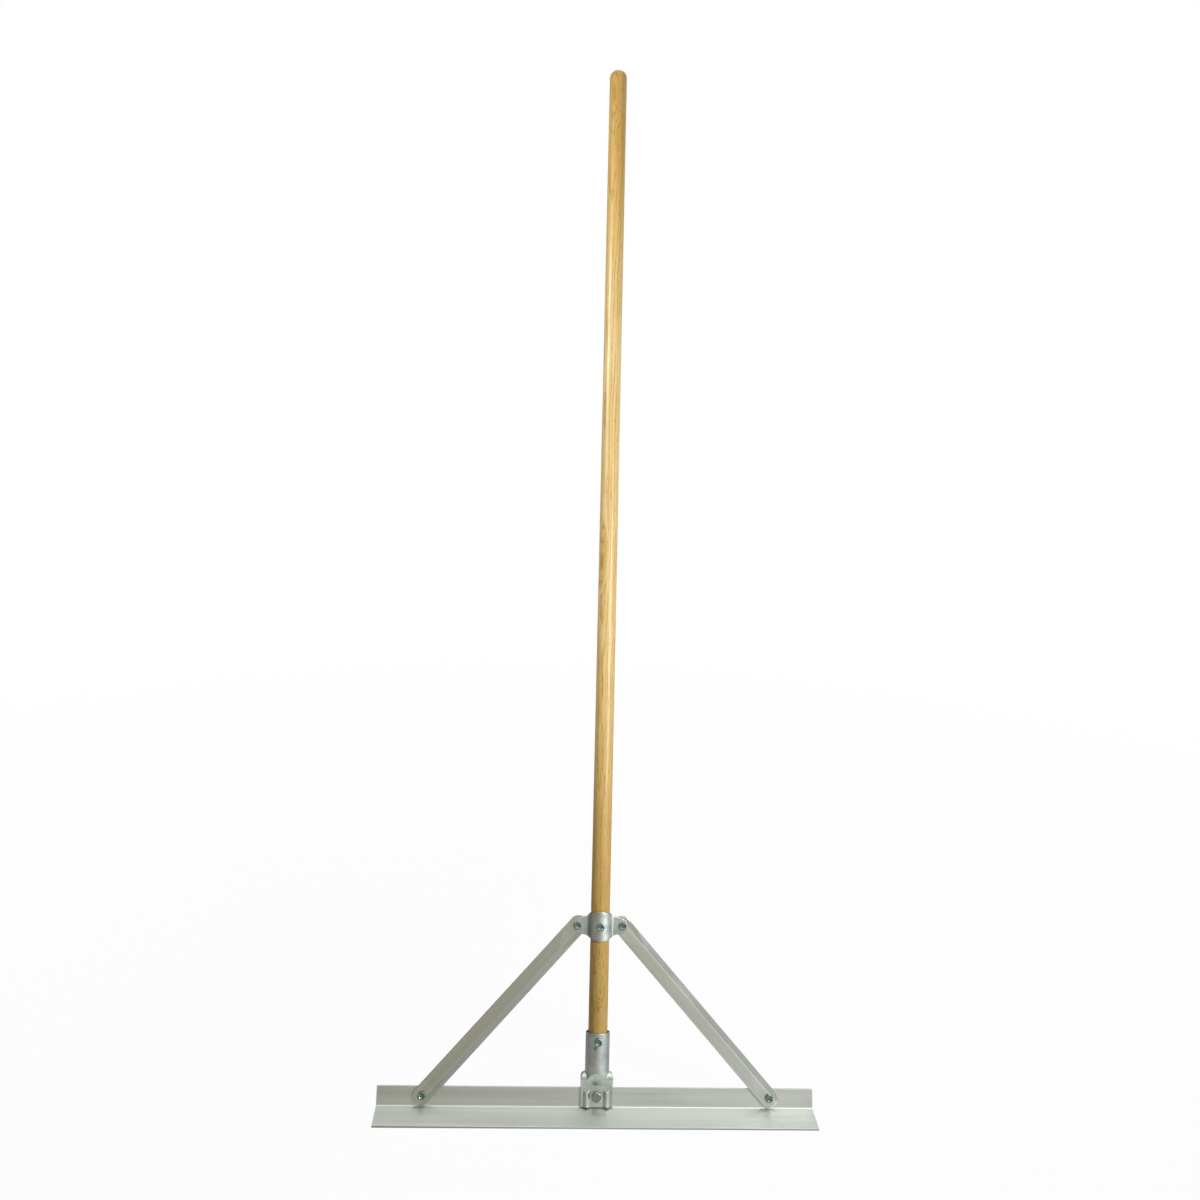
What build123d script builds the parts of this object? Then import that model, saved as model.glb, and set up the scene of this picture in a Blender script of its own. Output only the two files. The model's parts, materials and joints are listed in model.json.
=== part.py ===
"""Concrete spreader: angle blade, pressed socket, two flat braces, saddle clamp and a round ash handle.

Millimetres. The blade's sole lies on the floor with its middle at the origin. X runs along the blade,
Z is up, and the handle leans back towards +Y, away from the user's side of the blade.
"""
import os
from collections import namedtuple
from math import atan2, cos, degrees, radians, sin, sqrt, tan

from build123d import *

# Blade: an angle whose legs are opened past a right angle
blade_length = 610.0
blade_thickness = 3.0
blade_angle = 110.0
sole_leg = 45.0
upright_leg = 28.5
blade_root_radius = 2.5
blade_heel_radius = 1.0
blade_edge_break = 0.5

# Handle: a round pole, its lower end seated where the socket starts to narrow
handle_diameter = 27.0
handle_length = 1509.5
handle_top_flat = 7.0
handle_bottom_chamfer = 2.0
handle_seat_clearance = 0.3

# Socket: a tube with its lower end pressed flat, and two ribs pressed into the flat foot
socket_wall = 1.5
socket_clearance = 1.9
socket_tube_length = 53.0
socket_press_length = 19.5
socket_fold_radius = 8.0
socket_shoulder_radius = 8.5
socket_shoulder_depth = 18.8
socket_foot_height = 29.5
socket_foot_clearance = 0.6
socket_foot_margin = 4.0
socket_heel_clearance = 0.05
socket_pinch_gap = 0.4
socket_screw_drop = 11.0
rib_radius = 4.5
rib_run_out = 3.5
rib_clearance = 3.0
rib_drop = 5.0

# Braces: flat bars with full round ends and a low ridge to one side of their middle
brace_width = 25.0
brace_thickness = 3.0
brace_inset = 62.5
brace_overrun = 2.0
brace_root_clearance = 0.05
brace_ridge_height = 0.8
brace_ridge_offset = 4.2
brace_end_flat = 16.0
brace_ridge_run_out = 28.0

# Saddle clamp: a front and a back strap, ears bolted together over the brace ends
saddle_height = 246.7
strap_thickness = 2.5
strap_height = 40.8
strap_bend_radius = 3.0
strap_lip_radius = 1.5
strap_looseness = 2.0
strap_touch = 0.05
strap_bite_depth = 0.2
strap_bite_margin = 1.0
neck_height = 26.2
neck_reach = 0.8
ear_hole_reach = 14.2
ear_tip_height = 19.0
ear_tip_reach = 15.2
ear_reach = 20.7

# Fasteners: standard hexagon heads, nuts and washers in two sizes
Fastener = namedtuple("Fastener", "shank across_flats head nut washer_diameter washer_thickness")
small = Fastener(shank=6.0, across_flats=10.0, head=4.0, nut=5.0, washer_diameter=12.0, washer_thickness=1.6)
large = Fastener(shank=8.0, across_flats=13.0, head=5.3, nut=6.5, washer_diameter=16.0, washer_thickness=1.6)
bolt_clearance = 0.3
bolt_protrusion = 3.4
thread_clearance = 0.05
screw_tip_length = 5.0
screw_tip_diameter = 1.6
screw_cover = 5.6
screw_hole_clearance = 0.1
screw_hole_spare = 0.5

# The upright leg leans back with the handle, and the socket's foot and the braces lie on its front face
lean = radians(blade_angle - 90)
heel_y = sole_leg / 2
corner_y = heel_y - blade_thickness / tan(radians(blade_angle / 2))
root_run = blade_root_radius / tan(radians(blade_angle / 2))
foot_thickness = 2 * socket_wall
upright_face = foot_thickness / 2
upright_back = upright_face + blade_thickness
brace_face = upright_face - brace_thickness

# Plane square to the handle through the blade's inner corner, with the handle's axis at its origin
tool = Plane(
    origin=(0, corner_y - upright_face * cos(lean), blade_thickness + upright_face * sin(lean)),
    x_dir=(1, 0, 0),
    z_dir=(0, sin(lean), cos(lean)),
)
handle_axis = Axis(tool.origin, tool.z_dir)

# Heights up the handle from the blade's inner corner, and radii about the handle's axis
hole_height = root_run + brace_root_clearance + brace_width / 2
foot_bottom = socket_foot_clearance
foot_top = socket_foot_height
throat_height = foot_top + socket_press_length
mouth_height = throat_height + socket_tube_length
socket_screw_height = mouth_height - socket_screw_drop
rib_top = foot_top - rib_drop
handle_radius = handle_diameter / 2
socket_radius = handle_radius + socket_clearance + socket_wall
ramp_slope = (socket_radius - upright_face) / socket_press_length
bite_radius = handle_radius - strap_bite_depth
strap_inside = bite_radius + strap_looseness
strap_outside = strap_inside + strap_thickness
strap_shift = strap_looseness - strap_touch
strap_front = strap_outside - strap_shift

# Widths across the blade
brace_low_x = blade_length / 2 - brace_inset
ear_hole_x = strap_outside + ear_hole_reach
rib_x = large.across_flats / 2 + rib_clearance + rib_radius
foot_width = 2 * (rib_x + rib_radius + socket_foot_margin)

# Hole centres, as x along the blade and height up the handle
low_points = {"left": (-brace_low_x, hole_height), "right": (brace_low_x, hole_height)}
ear_points = {"left": (-ear_hole_x, saddle_height), "right": (ear_hole_x, saddle_height)}
foot_point = (0, hole_height)
saddle_point = (0, saddle_height)
socket_point = (0, socket_screw_height)


def level(height):
    """Plane square to the handle at a height above the blade's inner corner."""
    return tool.offset(height)


def front(depth, height=0):
    """Plane facing the user, at a depth behind the handle's axis: x along the blade, y up the handle."""
    return Plane(origin=level(height).origin + tool.y_dir * depth, x_dir=tool.x_dir, z_dir=-tool.y_dir)


def side(x):
    """Upright plane across the blade at a place along it: x away from the user, y up the handle."""
    return Plane(origin=tool.origin + tool.x_dir * x, x_dir=tool.y_dir, z_dir=tool.x_dir)


def drill(plane, points, diameter, depth):
    """Cut round holes into the part from a plane, away from the user."""
    with BuildSketch(plane) as holes:
        with Locations(*points):
            Circle(diameter / 2)
    extrude(holes.sketch, amount=-depth, mode=Mode.SUBTRACT)


def hole(size):
    """Diameter of the clearance hole for a bolt."""
    return size.shank + 2 * bolt_clearance


def screw_length(seat_depth):
    """Length of a wood screw from its seat to its point, which stops short of the handle's far side."""
    return seat_depth + handle_radius - screw_cover


def save(piece, label):
    """Label a finished piece and write its file."""
    piece.part.label = label
    export_step(piece.part, f"parts/{label}.step")


os.makedirs("parts", exist_ok=True)

# Blade: one extruded profile, drilled for the socket and the braces
with BuildPart() as blade:
    heel = (heel_y, 0)
    top_back = (heel_y + upright_leg * sin(lean), upright_leg * cos(lean))
    top_front = (top_back[0] - blade_thickness * cos(lean), top_back[1] + blade_thickness * sin(lean))
    corner = (corner_y, blade_thickness)
    edge_top = (-heel_y, blade_thickness)
    edge_bottom = (-heel_y, 0)
    with BuildSketch(Plane.YZ) as profile:
        with BuildLine():
            Polyline(edge_bottom, heel, top_back, top_front, corner, edge_top, close=True)
        make_face()
        fillet(profile.vertices().sort_by_distance(corner)[0], blade_root_radius)
        fillet(profile.vertices().sort_by_distance(heel)[0], blade_heel_radius)
        for spot in (top_back, top_front, edge_top, edge_bottom):
            fillet(profile.vertices().sort_by_distance(spot)[0], blade_edge_break)
    extrude(amount=blade_length / 2, both=True)
    drill(front(upright_face), low_points.values(), hole(small), blade_thickness)
    drill(front(upright_face), [foot_point], hole(large), blade_thickness)
save(blade, "blade")


def ramp_height(depth, inset):
    """Height at which the pressed walls, drawn in by the inset, are a depth from the handle's axis."""
    return throat_height - (socket_radius - inset * sqrt(1 + ramp_slope**2) - depth) / ramp_slope


# Handle: pole with a rounded top, a bevelled bottom, a band where the straps bite and two screw holes
with BuildPart() as handle:
    seat_height = ramp_height(handle_radius + handle_seat_clearance, socket_wall)
    with BuildSketch(level(seat_height - handle_bottom_chamfer)):
        Circle(handle_radius)
    extrude(amount=handle_length)
    ends = handle.edges().filter_by(GeomType.CIRCLE).sort_by(handle_axis)
    fillet(ends[-1], handle_radius - handle_top_flat / 2)
    chamfer(ends[0], handle_bottom_chamfer)
    with BuildSketch(level(saddle_height)):
        Circle(handle_radius)
        Circle(bite_radius, mode=Mode.SUBTRACT)
    extrude(amount=strap_height / 2 + strap_bite_margin, both=True, mode=Mode.SUBTRACT)
    for seat_depth, point in ((strap_front, saddle_point), (socket_radius, socket_point)):
        hole_depth = screw_length(seat_depth) + screw_hole_spare
        drill(front(-seat_depth), [point], small.shank + 2 * screw_hole_clearance, hole_depth)
save(handle, "handle")


def shoulders(bottom, half_width, inset):
    """Solid as wide as the foot, rounded at its top corners and domed over from front to back."""
    top = throat_height - inset
    half_depth = socket_shoulder_depth / 2 - inset
    with BuildPart() as piece:
        with BuildSketch(front(0)) as outline:
            with Locations((0, top)):
                Rectangle(2 * half_width, top - bottom, align=(Align.CENTER, Align.MAX))
            fillet(outline.vertices().group_by(Axis.Y)[-1], socket_shoulder_radius - inset)
        extrude(amount=half_depth, both=True)
        with BuildSketch(side(0)):
            with Locations((0, top - half_depth)):
                Circle(half_depth)
                Rectangle(2 * half_depth, top - half_depth - bottom, align=(Align.CENTER, Align.MAX))
        extrude(amount=half_width, both=True, mode=Mode.INTERSECT)
    return piece.part


def pressed_tube(bottom, least_depth, inset):
    """Solid tube with wide shoulders, pressed between two ramps and drawn in by the inset all round."""
    radius = socket_radius - inset
    half_width = foot_width / 2 - inset
    fold_height = ramp_height(least_depth, inset)
    ramp_top = ramp_height(radius, inset)
    with BuildPart() as piece:
        with BuildSketch(level(bottom)):
            Circle(radius)
        extrude(amount=mouth_height - bottom)
        add(shoulders(bottom, half_width, inset))
        with BuildSketch(side(0)) as pressed:
            with BuildLine():
                for way in (-1, 1):
                    Polyline(
                        (0, bottom),
                        (way * least_depth, bottom),
                        (way * least_depth, fold_height),
                        (way * radius, ramp_top),
                        (way * radius, mouth_height),
                        (0, mouth_height),
                    )
            make_face()
            if not inset:
                for way in (-1, 1):
                    fold = pressed.vertices().sort_by_distance((way * least_depth, fold_height))[0]
                    fillet(fold, socket_fold_radius)
        extrude(amount=half_width, both=True, mode=Mode.INTERSECT)
    return piece.part


def rib(x, inset):
    """Half-round rib on the front of the foot, running out on a slope at its top end."""
    radius = rib_radius - inset
    top = rib_top - inset
    with BuildPart() as piece:
        with BuildSketch(level(foot_bottom)):
            with Locations((x, 0)):
                Circle(radius)
        extrude(amount=top - foot_bottom)
        with BuildSketch(side(x)):
            with BuildLine():
                run_out = (-radius, top - rib_run_out)
                Polyline((0, foot_bottom), (-radius, foot_bottom), run_out, (0, top), close=True)
            make_face()
        extrude(amount=radius, both=True, mode=Mode.INTERSECT)
    return piece.part


# Socket: pressed from tube, its foot two walls thick with two hollow ribs that stiffen it
with BuildPart() as socket:
    add(pressed_tube(foot_bottom, upright_face, 0))
    add(pressed_tube(foot_top, socket_pinch_gap / 2, socket_wall), mode=Mode.SUBTRACT)
    heel_middle = front(upright_face).from_local_coords((0, foot_bottom, 0))
    heel_edge = socket.edges().sort_by_distance(heel_middle)[0]
    chamfer(heel_edge, root_run + socket_heel_clearance - foot_bottom)
    for x in (-rib_x, rib_x):
        add(rib(x, 0))
        add(rib(x, socket_wall), mode=Mode.SUBTRACT)
    drill(front(-upright_face), [foot_point], hole(large), foot_thickness)
    drill(front(-socket_radius), [socket_point], hole(small), socket_radius)
save(socket, "socket")

def ridge(low, ear):
    """Low ridge on a brace's front, right of its middle going up, running out short of both bolts."""
    span = (ear - low).length
    start = front(brace_face).from_local_coords(low)
    along = (front(brace_face).from_local_coords(ear) - start).normalized()
    across = along.cross(tool.y_dir)
    with BuildPart() as piece:
        with BuildSketch(Plane(origin=start, x_dir=across, z_dir=along)):
            with BuildLine():
                crest = (-brace_ridge_offset, brace_ridge_height)
                Polyline((-brace_width / 2, 0), crest, (brace_width / 2, 0), close=True)
            make_face()
        extrude(amount=span)
        with BuildSketch(Plane(origin=start, x_dir=along, z_dir=-across)):
            with Locations((span / 2, 0)):
                Trapezoid(
                    span - 2 * brace_end_flat,
                    brace_ridge_height,
                    degrees(atan2(brace_ridge_height, brace_ridge_run_out)),
                    align=(Align.CENTER, Align.MIN),
                )
        extrude(amount=brace_width / 2, both=True, mode=Mode.INTERSECT)
    return piece.part


# Braces: flat bars from the blade's upright leg to the saddle's ears
for name in low_points:
    low = Vector(low_points[name])
    ear = Vector(ear_points[name])
    high = ear + (ear - low).normalized() * brace_overrun
    run = high - low
    with BuildPart() as brace:
        with BuildSketch(front(upright_face)):
            with Locations((low + high) / 2):
                SlotCenterToCenter(run.length, brace_width, rotation=degrees(atan2(run.Y, run.X)))
            with Locations(low, ear):
                Circle(hole(small) / 2, mode=Mode.SUBTRACT)
        extrude(amount=brace_thickness)
        add(ridge(low, ear))
    save(brace, f"brace_{name}")


def strap(plane, ear_inner):
    """Pressed strap against the near side of the handle on a plane, its ears stopping short of the axis."""
    ear_outer = ear_inner + strap_thickness
    ear_x = strap_outside + ear_reach
    tip_x = strap_outside + ear_tip_reach
    neck_x = strap_outside + neck_reach
    with BuildPart() as piece:
        with BuildSketch(plane) as bent:
            with Locations((0, strap_shift)):
                Circle(strap_outside)
            with Locations((0, -(ear_inner + ear_outer) / 2)):
                Rectangle(2 * ear_x, strap_thickness)
            with Locations((0, strap_shift)):
                Circle(strap_inside, mode=Mode.SUBTRACT)
            with Locations((0, -ear_inner)):
                Rectangle(2 * ear_x, 2 * strap_outside, align=(Align.CENTER, Align.MIN), mode=Mode.SUBTRACT)
            bend_x = sqrt(strap_outside**2 - (ear_outer + strap_shift) ** 2)
            lip_x = sqrt(strap_inside**2 - (ear_inner + strap_shift) ** 2)
            for way in (-1, 1):
                fillet(bent.vertices().sort_by_distance((way * bend_x, -ear_outer))[0], strap_bend_radius)
                fillet(bent.vertices().sort_by_distance((way * lip_x, -ear_inner))[0], strap_lip_radius)
        extrude(amount=strap_height / 2, both=True)
        with BuildSketch(front(0, saddle_height)):
            with BuildLine():
                for way in (-1, 1):
                    neck_y = way * neck_height / 2
                    tip_y = way * ear_tip_height / 2
                    ThreePointArc((-neck_x, neck_y), (0, way * strap_height / 2), (neck_x, neck_y))
                    Line((-neck_x, neck_y), (-tip_x, tip_y))
                    Line((neck_x, neck_y), (tip_x, tip_y))
                    ThreePointArc((way * tip_x, -tip_y), (way * ear_x, 0), (way * tip_x, tip_y))
            make_face()
        extrude(amount=strap_outside, both=True, mode=Mode.INTERSECT)
        drill(front(-strap_outside), ear_points.values(), hole(small), 2 * strap_outside)
    return piece


# Saddle: the front strap has a hole for its wood screw, the back strap is plain
saddle_front = strap(level(saddle_height), -brace_face)
with saddle_front:
    drill(front(-strap_outside), [saddle_point], hole(small), strap_outside)
save(saddle_front, "saddle_front")
saddle_rear = Plane(origin=level(saddle_height).origin, x_dir=-tool.x_dir, z_dir=tool.z_dir)
save(strap(saddle_rear, upright_face), "saddle_back")


def hexagon(size, seat, point, height, turn):
    """Hexagon standing on a plane towards the user."""
    with BuildSketch(front(seat)) as prism:
        with Locations(point):
            RegularPolygon(size.across_flats / 2, 6, major_radius=False, rotation=turn)
    extrude(prism.sketch, amount=height)


def bolt(size, seat, point, length, turn):
    """Hexagon bolt with its head on the plane at seat and its shank going in, away from the user."""
    with BuildPart() as piece:
        hexagon(size, seat, point, size.head, turn)
        with BuildSketch(front(seat)):
            with Locations(point):
                Circle(size.shank / 2)
        extrude(amount=-length)
    return piece


def screw(size, seat, point, length, turn):
    """Hexagon wood screw: a bolt whose shank ends in a point."""
    place = front(seat).from_local_coords((*point, 0))
    with BuildPart() as piece:
        hexagon(size, seat, point, size.head, turn)
        with BuildSketch(Plane(origin=place, x_dir=tool.x_dir, z_dir=tool.z_dir)):
            with BuildLine():
                Polyline(
                    (0, 0),
                    (size.shank / 2, 0),
                    (size.shank / 2, length - screw_tip_length),
                    (screw_tip_diameter / 2, length),
                    (0, length),
                    close=True,
                )
            make_face()
        revolve(axis=Axis(place, tool.y_dir))
    return piece


def washer(size, seat, point):
    """Flat washer lying behind the plane at seat."""
    with BuildPart() as piece:
        with BuildSketch(front(seat)):
            with Locations(point):
                Circle(size.washer_diameter / 2)
                Circle(hole(size) / 2, mode=Mode.SUBTRACT)
        extrude(amount=-size.washer_thickness)
    return piece


def nut(size, seat, point, turn):
    """Hexagon nut lying behind the plane at seat, bored for the bolt."""
    with BuildPart() as piece:
        hexagon(size, seat + size.nut, point, size.nut, turn)
        drill(front(seat), [point], size.shank + 2 * thread_clearance, size.nut)
    return piece


def fasten(label, side, size, head_seat, nut_seat, point, turn):
    """Write a bolt from its head's seat to its nut's seat, with the washer and the nut behind."""
    grip = nut_seat - head_seat
    length = grip + size.washer_thickness + size.nut + bolt_protrusion
    save(bolt(size, head_seat, point, length, turn), f"{label}_bolt{side}")
    save(washer(size, nut_seat, point), f"{label}_washer{side}")
    save(nut(size, nut_seat + size.washer_thickness, point, turn), f"{label}_nut{side}")


# Bolts: heads towards the user, washers and nuts behind
saddle_head = brace_face - strap_thickness
saddle_back_face = upright_face + strap_thickness
fasten("socket", "", large, -upright_face, upright_back, foot_point, 30)
for name, brace_turn, saddle_turn in (("left", 12, 25), ("right", 40, 8)):
    fasten("brace", f"_{name}", small, brace_face, upright_back, low_points[name], brace_turn)
    fasten("saddle", f"_{name}", small, saddle_head, saddle_back_face, ear_points[name], saddle_turn)

# Wood screws: one through the front strap and one through the socket's mouth
save(screw(small, -strap_front, saddle_point, screw_length(strap_front), 5), "saddle_screw")
save(screw(small, -socket_radius, socket_point, screw_length(socket_radius), 20), "socket_screw")
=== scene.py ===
"""Looks of a concrete spreader.

A varnished ash pole, an extruded aluminium blade and braces, zinc-plated pressings and fasteners, and the stage.
"""

import json
import math

import bmesh
import bpy
from mathutils import Matrix, Vector


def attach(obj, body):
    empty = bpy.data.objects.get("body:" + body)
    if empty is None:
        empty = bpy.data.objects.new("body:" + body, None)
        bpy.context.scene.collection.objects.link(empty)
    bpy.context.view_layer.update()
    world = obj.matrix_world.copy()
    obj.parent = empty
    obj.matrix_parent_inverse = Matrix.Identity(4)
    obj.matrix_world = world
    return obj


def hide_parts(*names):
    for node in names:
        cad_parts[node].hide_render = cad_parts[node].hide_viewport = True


bl_info = {
    "name": "Concrete Spreader Looks",
    "version": (1, 0, 0),
    "blender": (4, 5, 0),
    "location": "3D View > Sidebar > Spreader",
    "description": "Finishes, fasteners, floor, light and camera for a concrete spreader",
    "category": "Object",
}

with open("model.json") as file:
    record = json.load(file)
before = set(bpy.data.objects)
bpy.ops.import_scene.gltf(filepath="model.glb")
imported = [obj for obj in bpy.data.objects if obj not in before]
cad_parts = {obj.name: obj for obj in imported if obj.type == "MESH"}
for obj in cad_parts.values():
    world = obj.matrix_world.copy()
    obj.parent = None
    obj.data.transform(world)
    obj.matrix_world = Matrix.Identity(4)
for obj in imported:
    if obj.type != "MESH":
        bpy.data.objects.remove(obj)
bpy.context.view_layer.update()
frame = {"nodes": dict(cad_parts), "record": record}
MM = 0.001

# The handle's line, from the grip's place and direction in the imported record
GRIP = next(m for m in frame["record"]["mounts"] if m["name"] == "handle_grip")
UP = Vector(GRIP["axis"]).normalized()
BACK = UP.cross(Vector((1, 0, 0)))
LEAN = math.atan2(UP.y, UP.z)
AXIS_POINT = Vector(GRIP["pos_m"]) - UP * Vector(GRIP["pos_m"]).dot(UP)

# Tool frame: x along the blade, y away from the user, z up the handle, with the handle's line as its z axis
TOOL = Matrix.Translation(AXIS_POINT) @ Matrix(((1, 0, 0), BACK, UP)).transposed().to_4x4()
TO_TOOL = TOOL.inverted()
# The same frame as the settings of a shader's Mapping node
TOOL_MAPPING = {"Rotation": (LEAN, 0, 0), "Location": (0, -AXIS_POINT.dot(BACK), 0)}

# Sockets of the Mix node go by number, since their names repeat: the share, then two numbers or two colours
SHARE, NUMBER_A, NUMBER_B, COLOUR_A, COLOUR_B = 0, 2, 3, 6, 7
MIXED_COLOUR = 2

# Nearly all of a noise lies between these, and nearly all of two noises added together
ONE_NOISE = {"From Min": 0.3, "From Max": 0.7}
TWO_NOISES = {"From Min": 0.7, "From Max": 1.3}

# A wave texture repeats after this length at a scale of 1
WAVE_LENGTH = 2 * math.pi / 20


def linear(code):
    """Linear colour of an sRGB hex code."""
    shares = [int(code[i : i + 2], 16) / 255 for i in (1, 3, 5)]
    return [s / 12.92 if s <= 0.04045 else ((s + 0.055) / 1.055) ** 2.4 for s in shares]


def rgba(colour):
    """Colour with full opacity."""
    return (*colour, 1.0)


def add(tree, kind, inputs=None, **settings):
    """Add one shader node: settings are its properties, inputs are plain values or sockets to link."""
    new = tree.nodes.new(kind)
    for name, value in settings.items():
        setattr(new, name, value)
    for name, value in (inputs or {}).items():
        if isinstance(value, bpy.types.NodeSocket):
            tree.links.new(value, new.inputs[name])
        else:
            new.inputs[name].default_value = value
    return new


def per(*sizes):
    """Texture scale for features of these sizes in millimetres, on coordinates in metres."""
    return tuple(1000 / size for size in sizes)


def new_material(name):
    """Empty node material with its output."""
    material = bpy.data.materials.new(name)
    material.use_nodes = True
    material.node_tree.nodes.clear()
    return material, material.node_tree, add(material.node_tree, "ShaderNodeOutputMaterial")


def tool_points(node):
    """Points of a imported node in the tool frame."""
    return [TO_TOOL @ v.co for v in frame["nodes"][node].data.vertices]


def dress(node, material):
    """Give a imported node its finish."""
    mesh = frame["nodes"][node].data
    mesh.materials.clear()
    mesh.materials.append(material)


class SpreaderFinish(bpy.types.PropertyGroup):
    """Colours and grain of the finishes."""

    ash_pale: bpy.props.FloatVectorProperty(
        name="Ash, pale wood", description="Dense late wood near the ends, under clear varnish",
        subtype="COLOR", default=linear("#DAB568"))
    # Painted light: the paler colour painted on the pole's middle, where the lamps light it most
    ash_painted_light: bpy.props.FloatVectorProperty(
        name="Ash, cream wood", description="Dense late wood along the middle, under clear varnish",
        subtype="COLOR", default=linear("#E5CA8C"))
    ash_deep: bpy.props.FloatVectorProperty(
        name="Ash, deep wood", description="Porous early wood under clear varnish",
        subtype="COLOR", default=linear("#BF923F"))
    ash_pore: bpy.props.FloatVectorProperty(
        name="Ash, pores", description="Open pores filled with varnish",
        subtype="COLOR", default=linear("#8F602A"))
    ring_width: bpy.props.FloatProperty(
        name="Growth ring", description="Width of one growth ring",
        unit="LENGTH", precision=4, default=3.4 * MM, min=1 * MM, max=8 * MM)
    blade_tone: bpy.props.FloatVectorProperty(
        name="Blade aluminium", description="Mill-finish extrusion",
        subtype="COLOR", default=linear("#D9DCD7"))
    blade_roughness: bpy.props.FloatProperty(
        name="Blade roughness", description="How far the blade's finish scatters what it mirrors",
        subtype="FACTOR", default=0.51, min=0.1, max=0.9)
    brace_tone: bpy.props.FloatVectorProperty(
        name="Brace aluminium", description="Mill-finish flat bar",
        subtype="COLOR", default=linear("#D8DBD5"))
    brace_roughness: bpy.props.FloatProperty(
        name="Brace roughness", description="How far the braces' finish scatters what it mirrors",
        subtype="FACTOR", default=0.30, min=0.1, max=0.9)
    plate_tone: bpy.props.FloatVectorProperty(
        name="Zinc plate", description="Bright zinc on pressed steel",
        subtype="COLOR", default=linear("#D1D8D3"))
    # Painted shade: the dark colour painted inside the socket and the straps, where shade falls round the handle
    bore_shade_tone: bpy.props.FloatVectorProperty(
        name="Bare steel", description="Steel that the plating misses, inside the socket and the straps",
        subtype="COLOR", default=linear("#45433E"))
    rust_tone: bpy.props.FloatVectorProperty(
        name="Rust", description="Stain under the socket's screw",
        subtype="COLOR", default=linear("#7E5A4C"))
    bolt_tone: bpy.props.FloatVectorProperty(
        name="Blue zinc", description="Blue passivated zinc on the fasteners",
        subtype="COLOR", default=linear("#7F918F"))
    foot_bolt_tone: bpy.props.FloatVectorProperty(
        name="Clear zinc", description="Clear passivated zinc on the foot bolt",
        subtype="COLOR", default=linear("#A3A69B"))


class SpreaderDetail(bpy.types.PropertyGroup):
    """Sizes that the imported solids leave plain."""

    small_pitch: bpy.props.FloatProperty(
        name="Small thread", description="Thread pitch of the 6 mm bolts",
        unit="LENGTH", precision=5, default=1.0 * MM, min=0.5 * MM)
    large_pitch: bpy.props.FloatProperty(
        name="Large thread", description="Thread pitch of the 8 mm bolt",
        unit="LENGTH", precision=5, default=1.25 * MM, min=0.5 * MM)
    screw_pitch: bpy.props.FloatProperty(
        name="Wood thread", description="Thread pitch of the wood screws",
        unit="LENGTH", precision=5, default=2.6 * MM, min=0.5 * MM)
    thread_depth: bpy.props.FloatProperty(
        name="Thread depth", description="Depth of a bolt's thread as a share of its pitch",
        subtype="FACTOR", default=0.54, min=0, max=1)
    screw_depth: bpy.props.FloatProperty(
        name="Wood thread depth", description="Depth of a wood screw's thread as a share of its pitch",
        subtype="FACTOR", default=0.25, min=0, max=1)
    washer_face: bpy.props.FloatProperty(
        name="Washer face", description="Height of the round face under a hexagon head",
        unit="LENGTH", precision=5, default=0.4 * MM)
    dish_rim: bpy.props.FloatProperty(
        name="Dish rim", description="Flat rim round the dish in a small hexagon head",
        unit="LENGTH", precision=5, default=1.0 * MM)
    dish_depth: bpy.props.FloatProperty(
        name="Dish depth", description="Depth of the dish in a small hexagon head",
        unit="LENGTH", precision=5, default=1.0 * MM)
    washer_edge: bpy.props.FloatProperty(
        name="Washer edge", description="Rounding of a punched washer's outer edge",
        unit="LENGTH", precision=5, default=0.4 * MM)
    brace_edge: bpy.props.FloatProperty(
        name="Brace edge", description="Rounding of a brace's cropped ends and lower edges",
        unit="LENGTH", precision=5, default=0.7 * MM)


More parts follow.
